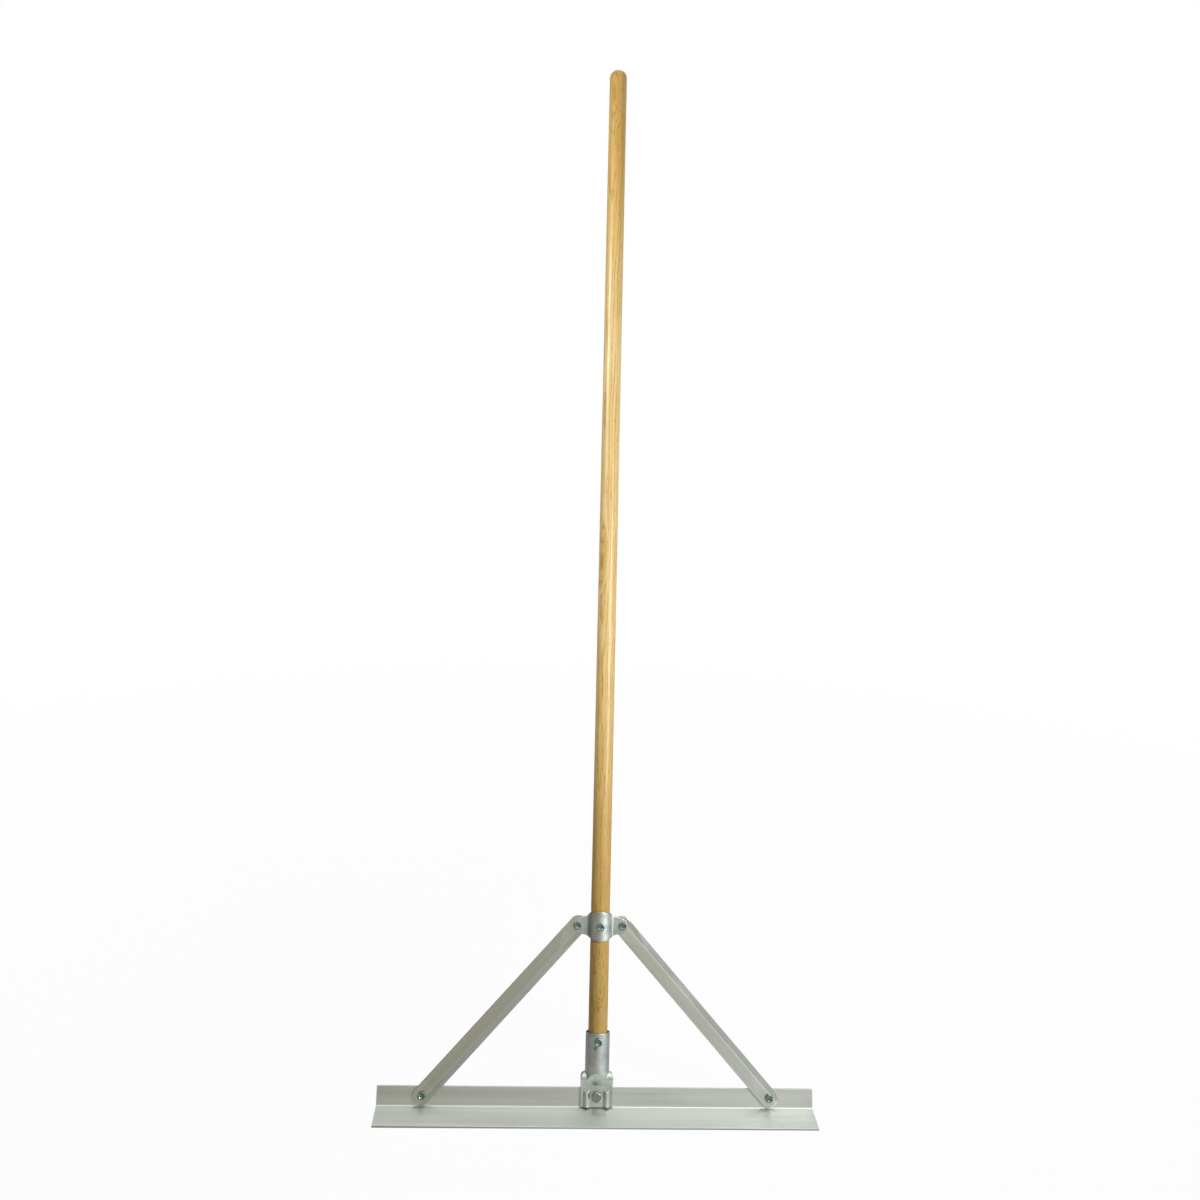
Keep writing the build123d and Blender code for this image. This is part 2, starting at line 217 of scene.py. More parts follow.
class SpreaderStage(bpy.types.PropertyGroup):
    """Camera, lights and floor."""

    camera_place: bpy.props.FloatVectorProperty(
        name="Camera place", description="Where the photograph was taken from",
        subtype="TRANSLATION", unit="LENGTH", default=(-0.09312, -1.39635, 1.03409))
    camera_ahead: bpy.props.FloatVectorProperty(
        name="Camera direction", description="The way the camera looks",
        subtype="DIRECTION", default=(0.04855, 0.97619, -0.21140))
    camera_roll: bpy.props.FloatProperty(
        name="Camera roll", description="Turn of the picture about the way the camera looks",
        subtype="ANGLE", default=math.radians(2.27))
    camera_lens: bpy.props.FloatProperty(
        name="Lens", description="Focal length of the camera's lens", unit="CAMERA", default=34.5)
    floor_colour: bpy.props.FloatVectorProperty(
        name="Floor", description="Pale studio floor", subtype="COLOR", default=linear("#F4F4F2"))
    softbox_place: bpy.props.FloatVectorProperty(
        name="Softbox place", description="Middle of the softbox, near the viewer's right shoulder",
        subtype="TRANSLATION", unit="LENGTH", default=(1.0, -0.75, 1.10))
    softbox_target: bpy.props.FloatVectorProperty(
        name="Softbox target", description="Point that the softbox faces",
        subtype="TRANSLATION", unit="LENGTH", default=(0, 0.26, 0.74))
    softbox_size: bpy.props.FloatVectorProperty(
        name="Softbox size", description="Width and height of the softbox", unit="LENGTH", size=2,
        default=(0.5, 0.7))
    softbox_power: bpy.props.FloatProperty(
        name="Softbox power", description="Light that the softbox gives", unit="POWER", default=6.85, min=0)
    softbox_spread: bpy.props.FloatProperty(
        name="Softbox spread", description="How far the softbox's light spreads",
        subtype="ANGLE", default=math.radians(100))
    beam_place: bpy.props.FloatVectorProperty(
        name="Beam place", description="Where the beam hangs, high on the left",
        subtype="TRANSLATION", unit="LENGTH", default=(-1.34, -0.25, 1.95))
    beam_target: bpy.props.FloatVectorProperty(
        name="Beam target", description="Point that the beam faces",
        subtype="TRANSLATION", unit="LENGTH", default=(0, 0.37, 1.02))
    beam_radius: bpy.props.FloatProperty(
        name="Beam lamp", description="Radius of the beam's lamp", unit="LENGTH", default=0.15, min=0)
    beam_power: bpy.props.FloatProperty(
        name="Beam power", description="Light that the beam gives", unit="POWER", default=98, min=0)
    beam_cone: bpy.props.FloatProperty(
        name="Beam cone", description="Opening of the beam", subtype="ANGLE", default=math.radians(47))
    beam_blend: bpy.props.FloatProperty(
        name="Beam edge", description="Softness of the beam's edge", subtype="FACTOR", default=0.7, min=0, max=1)


# Knots, darker streaks and paler patches of the pole: across, up the pole, half width, half length and sideways
# bow in millimetres, then how dark, below zero for paler wood
KNOTS = (
    (-2, 146, 5, 13, 4, 0.9),
    (3, 178, 14, 48, -18, -0.1),
    (4, 120, 18, 46, 8, -0.6),
    (-8, 785, 8, 70, 8, 0.4),
    (-1, 1448, 8, 42, 0, 0.4),
    (-6, 1525, 4, 60, 0, 0.4),
)
# How far each of them pushes the growth rings back, in millimetres
KNOT_PUSH = 6


def varnished_ash(finish):
    """Turned ash under clear varnish."""
    # Growth rings cut along the pole give long wavering bands, early wood is darker and full of short open pores,
    # the middle is painted paler than the ends as painted light where the lamps light it most, knots swirl the grain,
    # and the varnish lays one soft gloss over it all
    material, tree, output = new_material("turned_ash_clear_varnish")
    place = add(tree, "ShaderNodeTexCoord")
    along = add(tree, "ShaderNodeMapping", {"Vector": place.outputs["Object"], **TOOL_MAPPING})
    # The grain wavers by a few millimetres to either side
    stretch = add(tree, "ShaderNodeMapping", {"Vector": along.outputs[0], "Scale": per(22, 22, 190)})
    sway = add(tree, "ShaderNodeTexNoise", {
        "Vector": stretch.outputs[0], "Scale": 1.0, "Detail": 2.0, "Roughness": 0.45})
    centred = add(tree, "ShaderNodeVectorMath", {
        0: sway.outputs["Color"], 1: (0.5, 0.5, 0.5)}, operation="SUBTRACT")
    swayed = add(tree, "ShaderNodeVectorMath", {
        0: centred.outputs[0], 1: (13 * MM, 13 * MM, 0.0), 2: along.outputs[0]}, operation="MULTIPLY_ADD")
    # Knots push the grain aside and tint it
    turned, stained = swayed, None
    for across, up, wide, long, bow, dark in KNOTS:
        scale = per(wide, wide, long)
        oval = add(tree, "ShaderNodeMapping", {
            "Vector": swayed.outputs[0], "Scale": (scale[0], 0, scale[2]),
            "Location": (-across / wide, 0, -up / long)})
        away = add(tree, "ShaderNodeVectorMath", {0: oval.outputs[0]}, operation="LENGTH")
        knot = add(tree, "ShaderNodeMapRange", {"Value": away.outputs["Value"], "To Min": 1.0, "To Max": 0.0},
                   interpolation_type="SMOOTHSTEP")
        turned = add(tree, "ShaderNodeVectorMath", {
            0: knot.outputs[0], 1: (bow * MM, KNOT_PUSH * MM, 0.0), 2: turned.outputs[0]},
            operation="MULTIPLY_ADD")
        stained = add(tree, "ShaderNodeMath", {
            0: knot.outputs[0], 1: dark, 2: stained.outputs[0] if stained else 0.0}, operation="MULTIPLY_ADD")
    # The pith lies 55 mm off the pole's axis and runs out of line with it by about half a degree
    pith = add(tree, "ShaderNodeMapping", {
        "Vector": turned.outputs[0], "Location": (30 * MM, 46 * MM, 0.0),
        "Rotation": (math.radians(0.5), math.radians(-0.4), 0)})
    rings = add(tree, "ShaderNodeTexWave", {
        "Vector": pith.outputs[0], "Scale": WAVE_LENGTH / finish.ring_width, "Distortion": 0.0},
        wave_type="RINGS", rings_direction="Z", wave_profile="SAW")
    early = add(tree, "ShaderNodeMapRange", {
        "Value": rings.outputs["Fac"], "From Min": 0.50, "From Max": 0.98}, interpolation_type="SMOOTHSTEP")
    # Fibres are finer than a tenth of a millimetre; drawn as bundles of 1.9 mm so that they show
    fibre_place = add(tree, "ShaderNodeMapping", {"Vector": turned.outputs[0], "Scale": per(1.9, 1.9, 85)})
    fibre = add(tree, "ShaderNodeTexNoise", {
        "Vector": fibre_place.outputs[0], "Scale": 1.0, "Detail": 4.0, "Roughness": 0.7})
    # Real pores are 0.3 mm wide; drawn five times as wide so that they show
    pore_place = add(tree, "ShaderNodeMapping", {"Vector": turned.outputs[0], "Scale": per(1.5, 1.5, 11)})
    pore_noise = add(tree, "ShaderNodeTexNoise", {"Vector": pore_place.outputs[0], "Scale": 1.0, "Detail": 1.0})
    pores = add(tree, "ShaderNodeMapRange", {
        "Value": pore_noise.outputs["Fac"], "From Min": 0.55, "From Max": 0.70})
    pore_mask = add(tree, "ShaderNodeMapRange", {"Value": early.outputs[0], "To Min": 0.30})
    pore_share = add(tree, "ShaderNodeMath", {0: pores.outputs[0], 1: pore_mask.outputs[0]}, operation="MULTIPLY")
    cloud_place = add(tree, "ShaderNodeMapping", {"Vector": along.outputs[0], "Scale": per(60, 60, 170)})
    cloud = add(tree, "ShaderNodeTexNoise", {"Vector": cloud_place.outputs[0], "Scale": 1.0, "Detail": 2.0})
    # Painted light: the middle of the pole, where the lamps light it most, is painted paler, fading out towards the
    # saddle and towards the top, at heights in metres
    height = add(tree, "ShaderNodeSeparateXYZ", {0: along.outputs[0]})
    above_low = add(tree, "ShaderNodeMapRange", {
        "Value": height.outputs["Z"], "From Min": 0.28, "From Max": 0.70}, interpolation_type="SMOOTHSTEP")
    below_high = add(tree, "ShaderNodeMapRange", {
        "Value": height.outputs["Z"], "From Min": 1.10, "From Max": 1.42, "To Min": 1.0, "To Max": 0.0},
        interpolation_type="SMOOTHSTEP")
    middle = add(tree, "ShaderNodeMath", {0: above_low.outputs[0], 1: below_high.outputs[0]}, operation="MULTIPLY")
    late = add(tree, "ShaderNodeMix", {
        SHARE: middle.outputs[0], COLOUR_A: rgba(finish.ash_pale), COLOUR_B: rgba(finish.ash_painted_light)},
        data_type="RGBA")
    # Rings, fibres and soft clouds each add to how deep the wood's colour is
    ring_share = add(tree, "ShaderNodeMapRange", {"Value": early.outputs[0], "To Max": 0.50})
    fibre_share = add(tree, "ShaderNodeMapRange", {
        "Value": fibre.outputs["Fac"], **ONE_NOISE, "To Min": -0.34, "To Max": 0.40})
    cloud_share = add(tree, "ShaderNodeMapRange", {
        "Value": cloud.outputs["Fac"], **ONE_NOISE, "To Min": -0.05, "To Max": 0.30})
    grain = add(tree, "ShaderNodeMath", {0: ring_share.outputs[0], 1: fibre_share.outputs[0]}, operation="ADD")
    patchy = add(tree, "ShaderNodeMath", {0: grain.outputs[0], 1: cloud_share.outputs[0]}, operation="ADD")
    # Near the pole's foot, below the saddle, the figure is coarser and swirls round the knot
    curl_place = add(tree, "ShaderNodeMapping", {"Vector": turned.outputs[0], "Scale": per(3.6, 3.6, 45)})
    curl = add(tree, "ShaderNodeTexNoise", {"Vector": curl_place.outputs[0], "Scale": 1.0, "Detail": 2.0})
    curl_share = add(tree, "ShaderNodeMapRange", {
        "Value": curl.outputs["Fac"], "From Min": 0.38, "From Max": 0.62, "To Min": -0.55, "To Max": 0.45})
    foot = add(tree, "ShaderNodeMapRange", {
        "Value": height.outputs["Z"], "From Min": 0.20, "From Max": 0.28, "To Min": 1.0, "To Max": 0.0},
        interpolation_type="SMOOTHSTEP")
    curled = add(tree, "ShaderNodeMath", {
        0: curl_share.outputs[0], 1: foot.outputs[0], 2: patchy.outputs[0]}, operation="MULTIPLY_ADD")
    deep = add(tree, "ShaderNodeMath", {
        0: stained.outputs[0], 1: curled.outputs[0]}, operation="ADD", use_clamp=True)
    wood = add(tree, "ShaderNodeMix", {
        SHARE: deep.outputs[0], COLOUR_A: late.outputs[MIXED_COLOUR], COLOUR_B: rgba(finish.ash_deep)},
        data_type="RGBA")
    pore_tint = add(tree, "ShaderNodeMath", {0: pore_share.outputs[0], 1: 0.6}, operation="MULTIPLY")
    colour = add(tree, "ShaderNodeMix", {
        SHARE: pore_tint.outputs[0], COLOUR_A: wood.outputs[MIXED_COLOUR], COLOUR_B: rgba(finish.ash_pore)},
        data_type="RGBA")
    # Fibres stand up a little under the varnish and pores sink
    relief = add(tree, "ShaderNodeMath", {
        0: pore_share.outputs[0], 1: -0.7, 2: fibre.outputs["Fac"]}, operation="MULTIPLY_ADD")
    bump = add(tree, "ShaderNodeBump", {"Height": relief.outputs[0], "Strength": 0.20, "Distance": 0.3 * MM})
    rough = add(tree, "ShaderNodeMapRange", {"Value": fibre.outputs["Fac"], "To Min": 0.34, "To Max": 0.50})
    surface = add(tree, "ShaderNodeBsdfPrincipled", {
        "Base Color": colour.outputs[MIXED_COLOUR], "Roughness": rough.outputs[0], "Normal": bump.outputs[0],
        "IOR": 1.5, "Specular IOR Level": 0.3, "Coat Weight": 0.26, "Coat Roughness": 0.27, "Coat IOR": 1.5,
        "Coat Normal": bump.outputs[0]})
    tree.links.new(surface.outputs[0], output.inputs["Surface"])
    return material


def extruded_aluminium(name, tone, turn, roughness, crest=None, crest_highlight=0.0):
    """Mill-finish aluminium drawn through a die, its streaks along a direction in the tool's upright plane."""
    # The die leaves fine straight lines along the length and broad faint bands; the surface is bright but not a
    # mirror, with soft cloudy patches from handling
    material, tree, output = new_material(name)
    place = add(tree, "ShaderNodeTexCoord")
    upright = add(tree, "ShaderNodeMapping", {"Vector": place.outputs["Object"], "Rotation": (LEAN, 0, 0)})
    along = add(tree, "ShaderNodeMapping", {"Vector": upright.outputs[0], "Rotation": (0, turn, 0)})
    # Die lines are hundredths of a millimetre wide; drawn at 0.9 mm so that they show
    line_place = add(tree, "ShaderNodeMapping", {"Vector": along.outputs[0], "Scale": per(160, 0.9, 0.9)})
    lines = add(tree, "ShaderNodeTexNoise", {
        "Vector": line_place.outputs[0], "Scale": 1.0, "Detail": 3.0, "Roughness": 0.65})
    band_place = add(tree, "ShaderNodeMapping", {"Vector": along.outputs[0], "Scale": per(420, 6, 6)})
    bands = add(tree, "ShaderNodeTexNoise", {"Vector": band_place.outputs[0], "Scale": 1.0, "Detail": 2.0})
    cloud_place = add(tree, "ShaderNodeMapping", {"Vector": along.outputs[0], "Scale": per(70, 28, 28)})
    cloud = add(tree, "ShaderNodeTexNoise", {"Vector": cloud_place.outputs[0], "Scale": 1.0, "Detail": 4.0})
    streak = add(tree, "ShaderNodeMath", {0: lines.outputs["Fac"], 1: bands.outputs["Fac"]}, operation="ADD")
    shade = add(tree, "ShaderNodeMapRange", {
        "Value": streak.outputs[0], **TWO_NOISES, "To Min": 0.88, "To Max": 1.04})
    if crest is not None:
        # Painted highlight: the crest of the low ridge is painted brighter, about a millimetre to either side, where
        # it catches the light
        across = add(tree, "ShaderNodeSeparateXYZ", {0: along.outputs[0]})
        off_crest = add(tree, "ShaderNodeMath", {0: across.outputs["Z"], 1: crest}, operation="SUBTRACT")
        beside = add(tree, "ShaderNodeMath", {0: off_crest.outputs[0]}, operation="ABSOLUTE")
        painted_crest_highlight = add(tree, "ShaderNodeMapRange", {
            "Value": beside.outputs[0], "From Min": 0.2 * MM, "From Max": 1.1 * MM, "To Min": 1.0, "To Max": 0.0},
            interpolation_type="SMOOTHSTEP")
        # Painted shade: the narrow face on the right of the crest is painted darker than the broad one
        painted_face_shade = add(tree, "ShaderNodeMapRange", {
            "Value": off_crest.outputs[0], "From Min": -0.5 * MM, "From Max": 0.5 * MM, "To Min": 0.86})
        faces = add(tree, "ShaderNodeMath", {0: shade.outputs[0], 1: painted_face_shade.outputs[0]}, operation="MULTIPLY")
        shade = add(tree, "ShaderNodeMath", {
            0: painted_crest_highlight.outputs[0], 1: crest_highlight, 2: faces.outputs[0]}, operation="MULTIPLY_ADD")
    colour = add(tree, "ShaderNodeVectorMath", {0: tuple(tone), "Scale": shade.outputs[0]}, operation="SCALE")
    smudge = add(tree, "ShaderNodeMath", {0: cloud.outputs["Fac"], 1: lines.outputs["Fac"]}, operation="ADD")
    rough = add(tree, "ShaderNodeMapRange", {
        "Value": smudge.outputs[0], **TWO_NOISES, "To Min": roughness - 0.07, "To Max": roughness + 0.07})
    bump = add(tree, "ShaderNodeBump", {"Height": streak.outputs[0], "Strength": 0.10, "Distance": 0.15 * MM})
    if crest is None:
        soft_edge = add(tree, "ShaderNodeBevel", {"Radius": 0.25 * MM}, samples=4)
        tree.links.new(soft_edge.outputs[0], bump.inputs["Normal"])
    # The oxide skin keeps the metal from whitening at a glancing view
    surface = add(tree, "ShaderNodeBsdfPrincipled", {
        "Base Color": colour.outputs[0], "Metallic": 1.0, "Roughness": rough.outputs[0],
        "Normal": bump.outputs[0], "Specular Tint": (0.7, 0.7, 0.7, 1.0)})
    tree.links.new(surface.outputs[0], output.inputs["Surface"])
    return material


def bright_zinc_plate(finish, stain, bore, throat):
    """Bright zinc plated over pressed steel, with a rust stain at one point and painted shade inside the bore above
    the throat.
    """
    # Pressing leaves the sheet faintly dimpled and scuffed, and the plating is a cool bright grey with a frosted
    # grain; inside the tube and the straps, round the handle, dark painted shade stands for the shadow there, and
    # water under the screw has left a small brown stain
    material, tree, output = new_material("pressed_steel_bright_zinc")
    place = add(tree, "ShaderNodeTexCoord")
    # The frost's grain is a tenth of this size; drawn at 2.4 mm so that it shows
    grain = add(tree, "ShaderNodeTexNoise", {
        "Vector": place.outputs["Object"], "Scale": per(2.4)[0], "Detail": 4.0, "Roughness": 0.7})
    cloud = add(tree, "ShaderNodeTexNoise", {
        "Vector": place.outputs["Object"], "Scale": per(14)[0], "Detail": 3.0})
    dimples = add(tree, "ShaderNodeTexNoise", {
        "Vector": place.outputs["Object"], "Scale": per(6)[0], "Detail": 1.0})
    mix = add(tree, "ShaderNodeMath", {0: grain.outputs["Fac"], 1: cloud.outputs["Fac"]}, operation="ADD")
    shade = add(tree, "ShaderNodeMapRange", {
        "Value": mix.outputs[0], **TWO_NOISES, "To Min": 0.76, "To Max": 1.14})
    plate = add(tree, "ShaderNodeVectorMath", {
        0: tuple(finish.plate_tone), "Scale": shade.outputs[0]}, operation="SCALE")
    # The stain is a few millimetres across, and the frost makes its rim ragged
    off_stain = add(tree, "ShaderNodeVectorMath", {0: place.outputs["Object"], 1: stain}, operation="DISTANCE")
    ragged = add(tree, "ShaderNodeMath", {
        0: grain.outputs["Fac"], 1: 4 * MM, 2: off_stain.outputs["Value"]}, operation="MULTIPLY_ADD")
    rusted = add(tree, "ShaderNodeMapRange", {
        "Value": ragged.outputs[0], "From Min": 2.6 * MM, "From Max": 5.6 * MM, "To Min": 0.75, "To Max": 0.0})
    stained = add(tree, "ShaderNodeMix", {
        SHARE: rusted.outputs[0], COLOUR_A: plate.outputs[0], COLOUR_B: rgba(finish.rust_tone)}, data_type="RGBA")
    # Painted shade: what lies within the bore's radius, from the throat up, is painted dark
    along = add(tree, "ShaderNodeMapping", {"Vector": place.outputs["Object"], **TOOL_MAPPING})
    across = add(tree, "ShaderNodeVectorMath", {0: along.outputs[0], 1: (1, 1, 0)}, operation="MULTIPLY")
    radius = add(tree, "ShaderNodeVectorMath", {0: across.outputs[0]}, operation="LENGTH")
    height = add(tree, "ShaderNodeSeparateXYZ", {0: along.outputs[0]})
    inner = add(tree, "ShaderNodeMapRange", {
        "Value": radius.outputs["Value"], "From Min": bore + 0.1 * MM, "From Max": bore + 0.3 * MM,
        "To Min": 1.0, "To Max": 0.0})
    upper = add(tree, "ShaderNodeMapRange", {
        "Value": height.outputs["Z"], "From Min": throat, "From Max": throat + 2 * MM})
    painted_bore_shade = add(tree, "ShaderNodeMath", {0: inner.outputs[0], 1: upper.outputs[0]}, operation="MULTIPLY")
    colour = add(tree, "ShaderNodeMix", {
        SHARE: painted_bore_shade.outputs[0], COLOUR_A: stained.outputs[MIXED_COLOUR], COLOUR_B: rgba(finish.bore_shade_tone)},
        data_type="RGBA")
    rough = add(tree, "ShaderNodeMapRange", {
        "Value": mix.outputs[0], **TWO_NOISES, "To Min": 0.31, "To Max": 0.45})
    soft_edge = add(tree, "ShaderNodeBevel", {"Radius": 1.2 * MM}, samples=6)
    fine = add(tree, "ShaderNodeBump", {
        "Height": grain.outputs["Fac"], "Strength": 0.10, "Distance": 0.25 * MM, "Normal": soft_edge.outputs[0]})
    bump = add(tree, "ShaderNodeBump", {
        "Height": dimples.outputs["Fac"], "Strength": 0.12, "Distance": 0.4 * MM, "Normal": fine.outputs[0]})
    surface = add(tree, "ShaderNodeBsdfPrincipled", {
        "Base Color": colour.outputs[MIXED_COLOUR], "Metallic": 1.0, "Roughness": rough.outputs[0],
        "Normal": bump.outputs[0]})
    tree.links.new(surface.outputs[0], output.inputs["Surface"])
    return material


def passivated_zinc(name, tone):
    """Passivated zinc on cold-headed steel."""
    # A thin clear film tints the bright plating, with a fine frost and a little dulling in patches
    material, tree, output = new_material(name)
    place = add(tree, "ShaderNodeTexCoord")
    # The frost is finer than a tenth of a millimetre; drawn at 0.7 mm so that it shows
    frost = add(tree, "ShaderNodeTexNoise", {
        "Vector": place.outputs["Object"], "Scale": per(0.7)[0], "Detail": 2.0})
    patch = add(tree, "ShaderNodeTexNoise", {
        "Vector": place.outputs["Object"], "Scale": per(4)[0], "Detail": 2.0})
    mix = add(tree, "ShaderNodeMath", {0: frost.outputs["Fac"], 1: patch.outputs["Fac"]}, operation="ADD")
    shade = add(tree, "ShaderNodeMapRange", {
        "Value": mix.outputs[0], **TWO_NOISES, "To Min": 0.80, "To Max": 1.08})
    colour = add(tree, "ShaderNodeVectorMath", {0: tuple(tone), "Scale": shade.outputs[0]}, operation="SCALE")
    rough = add(tree, "ShaderNodeMapRange", {
        "Value": mix.outputs[0], **TWO_NOISES, "To Min": 0.22, "To Max": 0.34})
    soft_edge = add(tree, "ShaderNodeBevel", {"Radius": 0.25 * MM}, samples=4)
    bump = add(tree, "ShaderNodeBump", {
        "Height": frost.outputs["Fac"], "Strength": 0.08, "Distance": 0.1 * MM, "Normal": soft_edge.outputs[0]})
    surface = add(tree, "ShaderNodeBsdfPrincipled", {
        "Base Color": colour.outputs[0], "Metallic": 1.0, "Roughness": rough.outputs[0],
        "Normal": bump.outputs[0]})
    tree.links.new(surface.outputs[0], output.inputs["Surface"])
    return material


class SPREADER_OT_handle(bpy.types.Operator):
    """Varnish the ash pole"""

    bl_idname = "spreader.handle"
    bl_label = "Handle"

    def execute(self, context):
        dress("handle", varnished_ash(context.scene.spreader_finish))
        return {"FINISHED"}


class SPREADER_OT_blade(bpy.types.Operator):
    """Finish the extruded blade"""

    bl_idname = "spreader.blade"
    bl_label = "Blade"

    def execute(self, context):
        finish = context.scene.spreader_finish
        # The die's lines run along x, so nothing is turned
        dress("blade", extruded_aluminium(
            "blade_aluminium_mill_finish", finish.blade_tone, 0.0, finish.blade_roughness))
        return {"FINISHED"}


# Each brace's painted brightness against their common tone, and the strength of its painted crest highlight: the
# right bar, which the light falls on more, is painted a shade brighter than the left one, and its crest gets a
# stronger painted highlight
BRACES = {"left": (1.0, 0.10), "right": (1.1, 0.42)}
# Points within this distance of the foremost one lie on a brace's crest
CREST_BAND = 0.01 * MM
# Edges of a brace that are eased: steeper than this, and either as short as a crop's or beside a face that looks down
EASED_ANGLE = math.radians(60)
CROP_LENGTH = 5 * MM
DOWNWARD = -0.5
# Faces smaller than this run smoothly into each other
SMALL_FACE = 20 * MM**2
# Points this close are one point, and faces this near to one plane are one face
SAME_POINT = 0.001 * MM
SAME_PLANE = math.radians(0.5)


class SPREADER_OT_braces(bpy.types.Operator):
    """Finish both flat braces, with the die's lines along each bar"""

    bl_idname = "spreader.braces"
    bl_label = "Braces"

    def ease(self, node, finish, rounding):
        """Ease the cropped ends and the lower edges of a bar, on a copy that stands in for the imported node."""
        shape = bmesh.new()
        shape.from_mesh(frame["nodes"][node].data)
        bmesh.ops.remove_doubles(shape, verts=shape.verts, dist=SAME_POINT)
        bmesh.ops.dissolve_limit(shape, angle_limit=SAME_PLANE, verts=shape.verts, edges=shape.edges)
        corners = []
        for edge in shape.edges:
            cropped = edge.calc_length() < CROP_LENGTH
            lower = min(face.normal.z for face in edge.link_faces) < DOWNWARD
            if edge.calc_face_angle() > EASED_ANGLE and (cropped or lower):
                corners.append(edge)
        bmesh.ops.bevel(shape, geom=corners, offset=rounding, offset_type="OFFSET", segments=3, profile=0.5,
                        affect="EDGES", clamp_overlap=True)
        # Broad faces stay flat to their rims, and only the small ones run smoothly into each other
        for edge in shape.edges:
            edge.smooth = all(face.calc_area() < SMALL_FACE for face in edge.link_faces)
        for face in shape.faces:
            face.smooth = True
        mesh = bpy.data.meshes.new(f"{node}_eased")
        shape.to_mesh(mesh)
        shape.free()
        mesh.materials.append(finish)
        bar = bpy.data.objects.new(f"{node}_eased", mesh)
        bpy.context.scene.collection.objects.link(bar)
        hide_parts(node)
        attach(bar, "root")

    def execute(self, context):
        finish = context.scene.spreader_finish
        upright = Matrix.Rotation(LEAN, 3, "X")
        for side, (bright, crest_highlight) in BRACES.items():
            points = [upright @ v.co for v in frame["nodes"][f"brace_{side}"].data.vertices]
            foremost = min(p.y for p in points)
            ridge = sorted((p for p in points if p.y < foremost + CREST_BAND), key=lambda p: p.z)
            run = ridge[-1] - ridge[0]
            turn = math.atan2(run.z, run.x)
            crest = (Matrix.Rotation(turn, 3, "Y") @ ridge[0]).z
            # Painted light: the right bar's tone is painted brighter, as the light falls on it more
            tone = [bright * share for share in finish.brace_tone]
            metal = extruded_aluminium(
                f"brace_{side}_aluminium_mill_finish", tone, turn, finish.brace_roughness, crest, crest_highlight)
            self.ease(f"brace_{side}", metal, context.scene.spreader_detail.brace_edge)
        return {"FINISHED"}


# The rust stain lies this far to the left of the socket's screw and below it
STAIN_LEFT, STAIN_BELOW = 3.6 * MM, 8.4 * MM
# The bore is measured in this band below the socket's mouth, and its painted shade reaches this depth
MOUTH_BAND, BORE_SHADE_DEPTH = 2 * MM, 45 * MM


class SPREADER_OT_pressings(bpy.types.Operator):
    """Plate the socket and both saddle straps"""

    bl_idname = "spreader.pressings"
    bl_label = "Socket and saddle"

    def execute(self, context):
        screw = Hexagon("socket_screw")
        stain = TOOL @ (screw.centre + Vector((-STAIN_LEFT, -screw.seat, -STAIN_BELOW)))
        points = tool_points("socket")
        mouth = max(p.z for p in points)
        bore = min(p.xy.length for p in points if p.z > mouth - MOUTH_BAND)
        plate = bright_zinc_plate(context.scene.spreader_finish, tuple(stain), bore, mouth - BORE_SHADE_DEPTH)
        for node in ("socket", "saddle_front", "saddle_back"):
            dress(node, plate)
        return {"FINISHED"}


# Fastener meshes: points in one ring, rings in one turn of thread, and the angle from which an edge is sharp
SIDES = 48
TURN_STEPS = 6
SHARP_EDGE = math.radians(24)
# Turns over which a thread runs in and out
RUN_IN, RUN_OUT = 2, 1.5
# Along a shank, as shares of its length: the plain neck, where the thread starts, how long a bolt's thread is
# before its last pitch is taken off, how long a wood screw's is, and where a wood screw starts to taper
NECK, THREAD_START, BOLT_THREAD, SCREW_THREAD, SCREW_TAPER = 0.30, 0.32, 0.68, 0.46, 0.80
# Shares of a hexagon's corner radius: points beyond the first are on its rim, points inside the second on its shank
RIM_SHARE, SHANK_SHARE = 0.98, 0.75
# Share of a hexagon's width across flats that its 30 degree chamfer leaves flat, and a sixth of half a turn
FACE_SHARE = 0.95
SIXTH = math.pi / 6
# Inner ring of a flat face, as a share of the face's radius
FACE_RING = 0.5
# Run of the dish's slope for each unit of its depth
DISH_SLOPE = 1.5
# A rounded edge's middle point lies this share of its radius in from the corner
EDGE_MIDDLE = 0.3
# Points this near to a shank's end lie on its tip
TIP_BAND = 0.01 * MM


def around(radius, height):
    """One ring of a turned or hexagonal shape: radius and height may follow the angle."""
    ring = []
    for i in range(SIDES):
        angle = 2 * math.pi * i / SIDES
        r = radius(angle) if callable(radius) else radius
        h = height(angle) if callable(height) else height
        ring.append((r * math.cos(angle), r * math.sin(angle), h))
    return ring


def skin(name, rings, closed, node, place, material):
    """Mesh stretched over rings of points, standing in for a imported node."""
    count = len(rings)
    steps = count if closed else count - 1
    faces = []
    for k in range(steps):
        low, high = k * SIDES, (k + 1) % count * SIDES
        for i in range(SIDES):
            j = (i + 1) % SIDES
            faces.append((low + i, low + j, high + j, high + i))
    if not closed:
        faces.append(tuple(reversed(range(SIDES))))
        faces.append(tuple(range((count - 1) * SIDES, count * SIDES)))
    mesh = bpy.data.meshes.new(name)
    mesh.from_pydata([p for ring in rings for p in ring], [], faces)
    shape = bmesh.new()
    shape.from_mesh(mesh)
    bmesh.ops.recalc_face_normals(shape, faces=shape.faces)
    shape.to_mesh(mesh)
    shape.free()
    mesh.shade_smooth()
    mesh.set_sharp_from_angle(angle=SHARP_EDGE)
    mesh.materials.append(material)
    piece = bpy.data.objects.new(name, mesh)
    piece.matrix_world = place
    bpy.context.scene.collection.objects.link(piece)
    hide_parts(node)
    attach(piece, "root")


